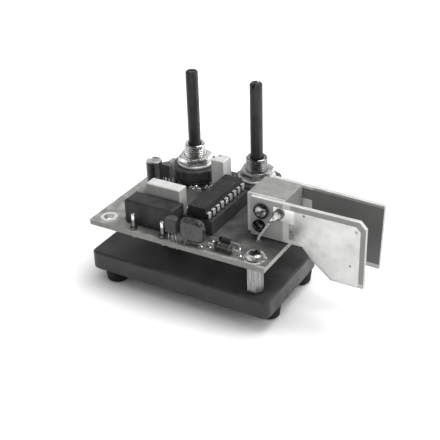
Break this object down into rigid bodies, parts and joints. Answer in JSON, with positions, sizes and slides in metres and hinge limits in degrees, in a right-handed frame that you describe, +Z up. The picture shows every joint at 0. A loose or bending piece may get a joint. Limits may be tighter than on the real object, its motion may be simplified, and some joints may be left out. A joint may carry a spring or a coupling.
{
  "type": "touch paddle key",
  "caption": "Electronic touch paddle key: a circuit board with a chip, relay, touch plates and shaft controls on standoffs above a heavy footed base.",
  "frame": {"origin": "on the desk, at the middle of the key's bounding box", "axes": "+Z up; +X to the right, the way the touch plates point; +Y to the back, towards the shaft controls"},
  "size_m": [0.0856, 0.049, 0.0592],
  "materials": {
    "black_paint": "satin black paint",
    "foot_rubber": "matt black rubber",
    "plated_steel": "bright zinc plating",
    "zinc_bushing": "plated steel cover and bushing",
    "board_laminate": "solder-masked glass-fibre laminate",
    "tinned_laminate": "laminate with a tinned copper face",
    "grey_plastic": "smooth grey plastic block",
    "black_moulding": "moulded black epoxy",
    "satin_black_plastic": "satin black plastic",
    "grey_box": "light grey moulded box",
    "white_box": "white moulded box",
    "can_sleeve": "dark shrink sleeve on an aluminium can",
    "dipped_resin": "glossy dipped resin",
    "diode_glass": "small glass diode body",
    "resistor_coating": "lacquered resistor body",
    "phenolic": "phenolic wafer with tinned lugs",
    "spring_brass": "sprung brass",
    "tinned_copper": "tinned copper pins and wires"
  },
  "bodies": {
    "key_body": {"base_block": "black_paint", "base_screw_front_right": "plated_steel", "base_screw_left": "plated_steel", "base_screw_rear": "plated_steel", "board_screw_front_right": "plated_steel", "board_screw_left": "plated_steel", "board_screw_rear": "plated_steel", "chip_socket": "satin_black_plastic", "circuit_board": "board_laminate", "diode": "diode_glass", "dipped_capacitor": "dipped_resin", "electrolytic_capacitor": "can_sleeve", "film_capacitor": "grey_box", "foot_front_left": "foot_rubber", "foot_front_right": "foot_rubber", "foot_rear_left": "foot_rubber", "foot_rear_right": "foot_rubber", "front_contact_stud": "tinned_copper", "front_plate": "tinned_laminate", "front_plate_screw_lower": "plated_steel", "front_plate_screw_upper": "plated_steel", "front_touch_wire": "tinned_copper", "front_transistor": "black_moulding", "insulating_block": "grey_plastic", "keyer_chip": "black_moulding", "left_bushing": "zinc_bushing", "left_case": "black_moulding", "left_nut": "plated_steel", "left_wafer": "phenolic", "left_washer": "plated_steel", "rear_contact_stud": "tinned_copper", "rear_plate": "tinned_laminate", "rear_plate_screw_lower": "plated_steel", "rear_plate_screw_upper": "plated_steel", "rear_touch_wire": "tinned_copper", "rear_transistor": "black_moulding", "reed_relay": "satin_black_plastic", "resistor": "resistor_coating", "right_bushing": "zinc_bushing", "right_case": "black_moulding", "right_nut": "plated_steel", "right_wafer": "phenolic", "right_washer": "plated_steel", "standoff_front_right": "plated_steel", "standoff_left": "plated_steel", "standoff_rear": "plated_steel", "terminal_pin_left": "tinned_copper", "terminal_pin_right": "tinned_copper", "white_capacitor": "white_box"},
    "left_control_shaft": {"left_shaft": "satin_black_plastic", "left_wiper": "spring_brass"},
    "right_control_shaft": {"right_shaft": "satin_black_plastic", "right_wiper": "spring_brass"}
  },
  "joints": [
    {"name": "left_control_turn", "type": "hinge", "parent": "key_body", "child": "left_control_shaft", "pos_m": [-0.02793, 0.01625, 0.0343], "axis": [0, 0, 1], "range_deg": [-140, 140]},
    {"name": "right_control_turn", "type": "hinge", "parent": "key_body", "child": "right_control_shaft", "pos_m": [-0.00493, 0.01625, 0.0343], "axis": [0, 0, 1], "range_deg": [-140, 140]}
  ]
}
